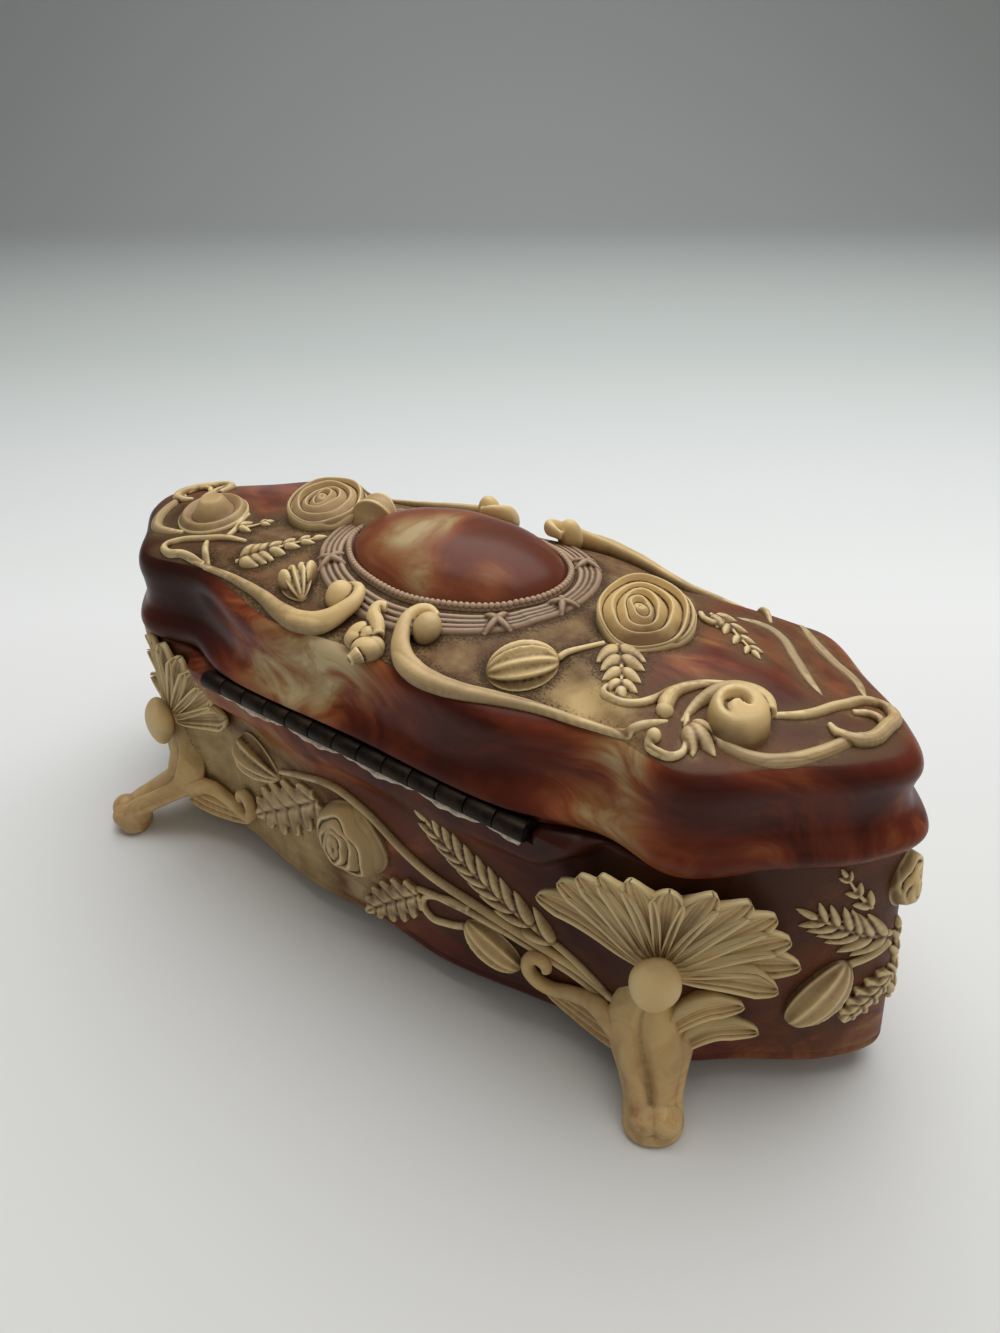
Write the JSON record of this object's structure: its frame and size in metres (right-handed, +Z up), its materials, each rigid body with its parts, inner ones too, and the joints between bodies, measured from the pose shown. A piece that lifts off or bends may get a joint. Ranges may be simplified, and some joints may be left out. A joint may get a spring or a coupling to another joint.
{
  "type": "trinket box",
  "caption": "Serpentine cast-stone trinket box on splayed palmette feet, with a hinged hollow lid that carries an oval cabochon, roses and scrolls in relief, and a lined floor.",
  "frame": {"origin": "centre of the footprint, on the surface that the feet stand on", "axes": "+X along the box, +Y towards the hinge side, +Z up"},
  "size_m": [0.228, 0.1014, 0.0987],
  "materials": {
    "marbled_cast": "marbled red-brown, satin gloss",
    "polished_cast": "marbled red-brown, polished",
    "cream_cast": "cream, satin, dirt in the hollows",
    "tan_cast": "greyish tan, matt",
    "bronze": "dark, tarnished",
    "velvet": "short pile"
  },
  "bodies": {
    "box": {"body_shell": "marbled_cast", "floor_liner": "velvet", "hinge_body_leaf": "bronze", "hinge_pin": "bronze", "foot_rear_left": "cream_cast", "foot_rear_right": "cream_cast", "foot_front_left": "cream_cast", "foot_front_right": "cream_cast", "rear_rose": "cream_cast", "rear_bud": "cream_cast", "rear_pod": "cream_cast", "rear_stem": "cream_cast", "rear_wheat": "cream_cast", "front_rose": "cream_cast", "front_bud": "cream_cast", "front_pod": "cream_cast", "front_stem": "cream_cast", "front_wheat": "cream_cast", "left_end_rose": "cream_cast", "left_end_fern": "cream_cast", "left_end_pod": "cream_cast", "right_end_rose": "cream_cast", "right_end_fern": "cream_cast", "right_end_pod": "cream_cast"},
    "lid": {"lid_shell": "marbled_cast", "hinge_lid_leaf": "bronze", "oval_cabochon": "polished_cast", "beaded_ring": "tan_cast", "ribbon_wreath": "tan_cast", "lid_rose_left": "cream_cast", "lid_rose_right": "cream_cast", "scroll_rear_right": "cream_cast", "scroll_rear_left": "cream_cast", "scroll_front_right": "cream_cast", "scroll_front_left": "cream_cast", "snail_right": "cream_cast", "snail_left": "cream_cast", "end_scroll_right": "cream_cast", "end_scroll_left": "cream_cast", "seed_pod": "cream_cast", "tulip_bud": "cream_cast", "blossom": "cream_cast", "rosebud": "cream_cast", "laurel_leaf": "cream_cast", "rose_leaf": "cream_cast"}
  },
  "joints": [
    {"name": "lid_hinge", "type": "hinge", "parent": "box", "child": "lid", "pos_m": [0, 0.0419, 0.0633], "axis": [-1, 0, 0], "range_deg": [0, 100]}
  ]
}
